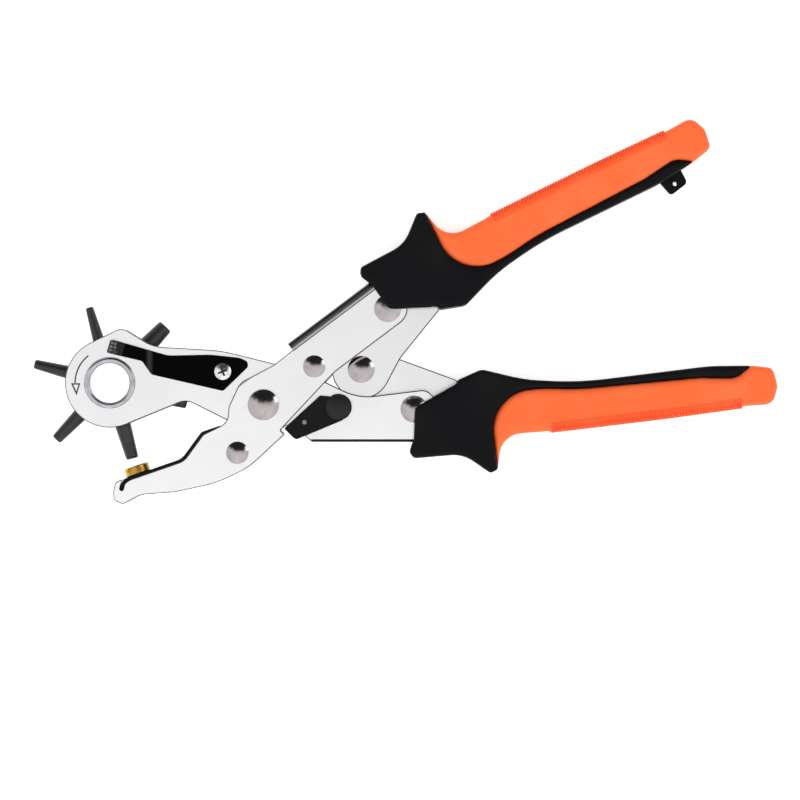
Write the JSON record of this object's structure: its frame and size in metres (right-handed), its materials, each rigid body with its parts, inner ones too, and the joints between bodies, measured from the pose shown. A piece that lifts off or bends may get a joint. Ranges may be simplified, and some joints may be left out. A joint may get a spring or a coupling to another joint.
{
  "type": "rotary hole punch",
  "caption": "Hand pliers with a turning turret of punch tubes over a flat anvil, an index spring, a latch and compound-lever handles with soft grips.",
  "frame": {"origin": "bottom centre of the bounding box of the tool lying flat on its back", "axes": "+X from the turret towards the handle ends, +Y towards the upper handle, +Z out of the front face, square to the plates"},
  "size_m": [0.2596, 0.1338, 0.022],
  "materials": {
    "polished_plate": "polished nickel-plated sheet with a fine grain",
    "handle_steel": "satin nickel-plated sheet",
    "polished_rivet": "bright domed rivet heads",
    "hub_chrome": "bright rolled flange",
    "black_oxide": "black oxide with a soft sheen",
    "black_spring": "glossy black finish",
    "zinc": "zinc-plated",
    "plain_steel": "plain turned steel",
    "spring_wire": "drawn spring wire",
    "dark_steel": "blackened steel bar",
    "brass_anvil": "lightly mottled brass",
    "latch_plastic": "black plastic, semi-gloss",
    "black_pin": "black painted pin head",
    "black_plastic": "fine-grained matte black plastic",
    "orange_cover": "smooth soft-touch orange plastic"
  },
  "bodies": {
    "head": {"turret_jaw_frame": "polished_plate", "hub_eyelet": "hub_chrome", "index_spring": "black_spring", "index_screw": "zinc", "head_standoff": "plain_steel", "pivot_sleeve": "plain_steel", "latch_pin": "black_pin", "opening_spring": "spring_wire"},
    "turret": {"turret_wheel": "black_oxide", "punch_tube_3_5mm": "black_oxide", "punch_tube_3_0mm": "black_oxide", "punch_tube_2_5mm": "black_oxide", "punch_tube_2_0mm": "black_oxide", "punch_tube_4_5mm": "black_oxide", "punch_tube_4_0mm": "black_oxide"},
    "index_catch": {"index_pad": "black_spring", "index_pin": "zinc"},
    "anvil_jaw": {"anvil_jaw_frame": "polished_plate", "anvil_bar": "dark_steel", "anvil": "brass_anvil", "main_pivot_rivet": "polished_rivet", "jaw_rivet": "polished_rivet", "stop_rivet": "polished_rivet", "stop_sleeve": "plain_steel"},
    "upper_handle": {"upper_handle_plate_front": "handle_steel", "upper_handle_plate_rear": "handle_steel", "upper_link_rivet": "polished_rivet", "upper_link_washer_front": "handle_steel", "upper_link_washer_rear": "handle_steel", "handle_lap_rivet": "polished_rivet", "upper_grip_core": "black_plastic", "upper_grip_cover": "orange_cover", "hang_tab": "black_plastic"},
    "lower_handle": {"lower_handle_bar": "handle_steel", "lower_link_rivet": "polished_rivet", "lower_link_washer_front": "handle_steel", "lower_link_washer_rear": "handle_steel", "lower_grip_core": "black_plastic", "lower_grip_cover": "orange_cover"},
    "latch": {"latch_lever": "latch_plastic"}
  },
  "joints": [
    {"name": "jaw_pivot", "type": "hinge", "parent": "head", "child": "anvil_jaw", "pos_m": [-0.04915, -0.03243, 0.011], "axis": [0, 0, 1], "range_deg": [-3.1, 5], "stiffness_Nm_per_rad": 0.38, "deforming": ["opening_spring"]},
    {"name": "upper_handle_link", "type": "hinge", "parent": "anvil_jaw", "child": "upper_handle", "pos_m": [-0.00592, 0.00109, 0.011], "axis": [0, 0, 1], "range_deg": [-4.5, 7.2]},
    {"name": "lower_handle_link", "type": "hinge", "parent": "head", "child": "lower_handle", "pos_m": [0.00328, -0.0339, 0.011], "axis": [0, 0, 1], "range_deg": [-6.3, 3.9]},
    {"name": "turret_spin", "type": "hinge", "parent": "head", "child": "turret", "pos_m": [-0.1028, -0.02477, 0.011], "axis": [0, 0, 1], "continuous": true},
    {"name": "index_lift", "type": "slide", "parent": "head", "child": "index_catch", "axis": [0, 0, 1], "range_m": [0, 0.002], "stiffness_N_per_m": 400, "deforming": ["index_spring"]},
    {"name": "latch_swing", "type": "hinge", "parent": "head", "child": "latch", "pos_m": [-0.02305, -0.03318, 0.011], "axis": [0, 0, 1], "range_deg": [0, 25]}
  ],
  "couplings": [
    {"joint": "upper_handle_link", "follows": "jaw_pivot", "ratio": 1.42},
    {"joint": "lower_handle_link", "follows": "jaw_pivot", "ratio": -1.24}
  ]
}
